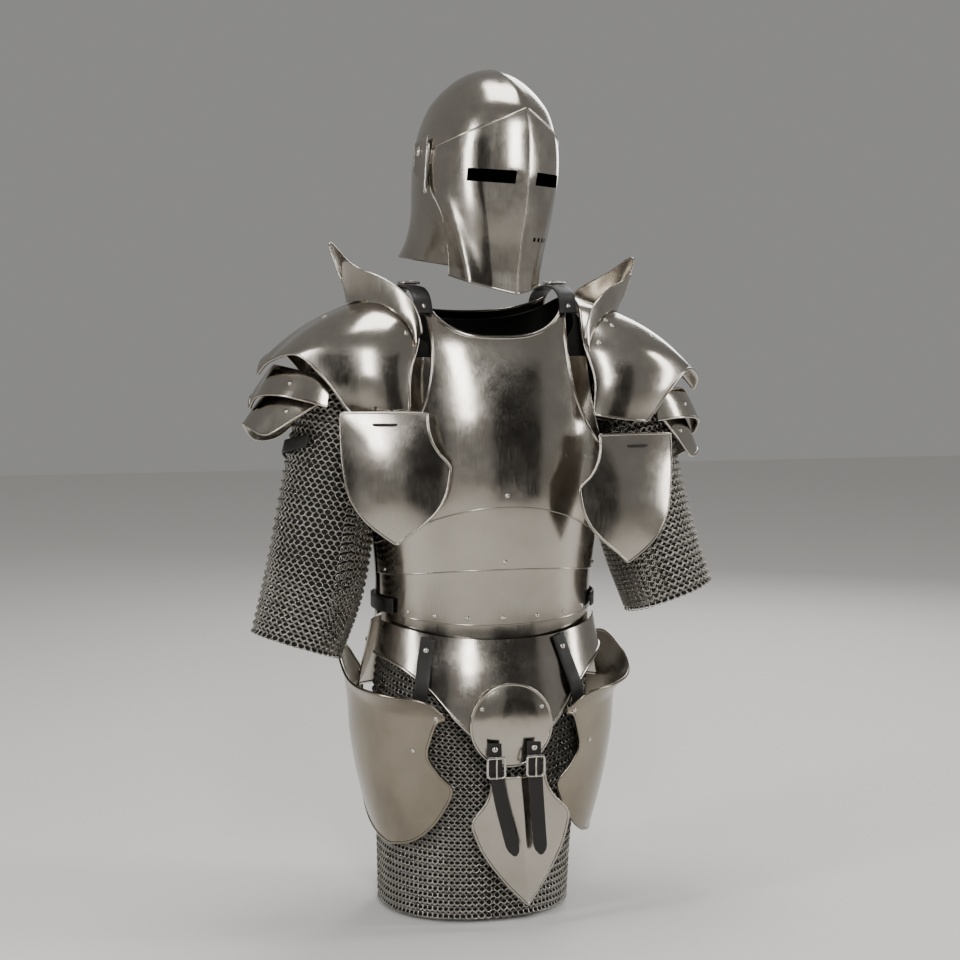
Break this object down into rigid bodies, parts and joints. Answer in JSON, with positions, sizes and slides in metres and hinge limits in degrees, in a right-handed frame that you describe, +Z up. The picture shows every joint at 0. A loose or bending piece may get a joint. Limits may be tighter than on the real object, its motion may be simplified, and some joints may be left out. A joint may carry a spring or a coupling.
{
  "type": "suit of plate armour",
  "caption": "Hollow suit of plate armour as worn: visored helmet, cuirass, pauldrons, besagews, fauld and tassets over a short-sleeved mail shirt.",
  "frame": {"origin": "between the shoulder tops, where the wearer's shoulders carry the suit", "axes": "+Z up the wearer's spine, -Y out of the breastplate, +X to the wearer's left"},
  "size_m": [0.6573, 0.3231, 1.1522],
  "materials": {
    "steel": "hand polished, with soft brushing and small dents",
    "fittings": "bright polished rivets, pins and buckles",
    "leather": "black harness leather, matt",
    "mail": "grey steel rings, lightly oiled"
  },
  "bodies": {
    "suit": {"breastplate": "steel", "belly_plate_upper": "steel", "belly_plate_lower": "steel", "waist_band": "steel", "fauld": "steel", "backplate": "steel", "culet": "steel", "gusset_right": "steel", "gusset_left": "steel", "shoulder_strap_right": "leather", "shoulder_buckle_right": "fittings", "shoulder_strap_left": "leather", "shoulder_buckle_left": "fittings", "side_strap_right": "leather", "side_strap_left": "leather", "cod_disc": "steel", "cod_shield": "steel", "cod_strap_right": "leather", "cod_buckle_right": "fittings", "cod_strap_left": "leather", "cod_buckle_left": "fittings", "tasset_right": "steel", "tasset_left": "steel", "tasset_strap_right": "leather", "tasset_strap_left": "leather", "pauldron_right": "steel", "haute_piece_right": "steel", "arm_lame_upper_right": "steel", "arm_lame_lower_right": "steel", "pauldron_left": "steel", "haute_piece_left": "steel", "arm_lame_upper_left": "steel", "arm_lame_lower_left": "steel", "besagew_right": "steel", "lace_right": "leather", "besagew_left": "steel", "lace_left": "leather", "mail_body": "mail", "mail_sleeve_right": "mail", "mail_sleeve_left": "mail", "arm_strap_right": "leather", "arm_strap_left": "leather", "helmet_skull": "steel"},
    "visor": {"visor": "steel", "visor_arm_right": "steel", "hinge_pin_right": "fittings", "pivot_rivet_right": "fittings", "visor_arm_left": "steel", "hinge_pin_left": "fittings", "pivot_rivet_left": "fittings"}
  },
  "joints": [
    {"name": "visor_lift", "type": "hinge", "parent": "suit", "child": "visor", "pos_m": [-0.00092, 0.00286, 0.19547], "axis": [-0.9732, -0.2247, 0.0488], "range_deg": [0, 50]}
  ]
}
